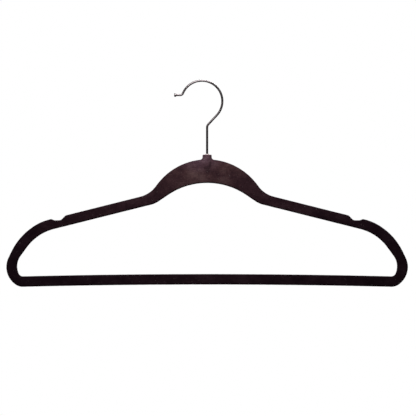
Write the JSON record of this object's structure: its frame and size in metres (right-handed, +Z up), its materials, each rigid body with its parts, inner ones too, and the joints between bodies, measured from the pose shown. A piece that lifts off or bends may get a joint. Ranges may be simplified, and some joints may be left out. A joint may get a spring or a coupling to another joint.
{
  "type": "clothes hanger",
  "caption": "Slim flocked clothes hanger with a trouser bar, strap notches in the shoulders and a wire hook that swivels in a bushed boss on the yoke.",
  "frame": {"origin": "rail seat, the point inside the top of the hook that bears on the rail", "axes": "+Z up, +X along the width towards the side the hook is closed on, -Y towards the front"},
  "size_m": [0.4506, 0.0102, 0.2326],
  "materials": {
    "velvet_flock": "short dense flock, dark brown with a plum cast",
    "core_plastic": "as moulded black ABS",
    "hook_wire": "smoky satin plating on steel wire",
    "bush_nylon": "natural nylon",
    "washer_steel": "plain steel"
  },
  "bodies": {
    "hook": {"hook": "hook_wire", "thrust_washer": "washer_steel"},
    "hanger_body": {"core_front": "core_plastic", "core_rear": "core_plastic", "flock_coat": "velvet_flock", "hook_bush": "bush_nylon"}
  },
  "joints": [
    {"name": "hook_swivel", "type": "hinge", "parent": "hook", "child": "hanger_body", "pos_m": [0.0059, 0, -0.08185], "axis": [0, 0, 1], "continuous": true}
  ]
}
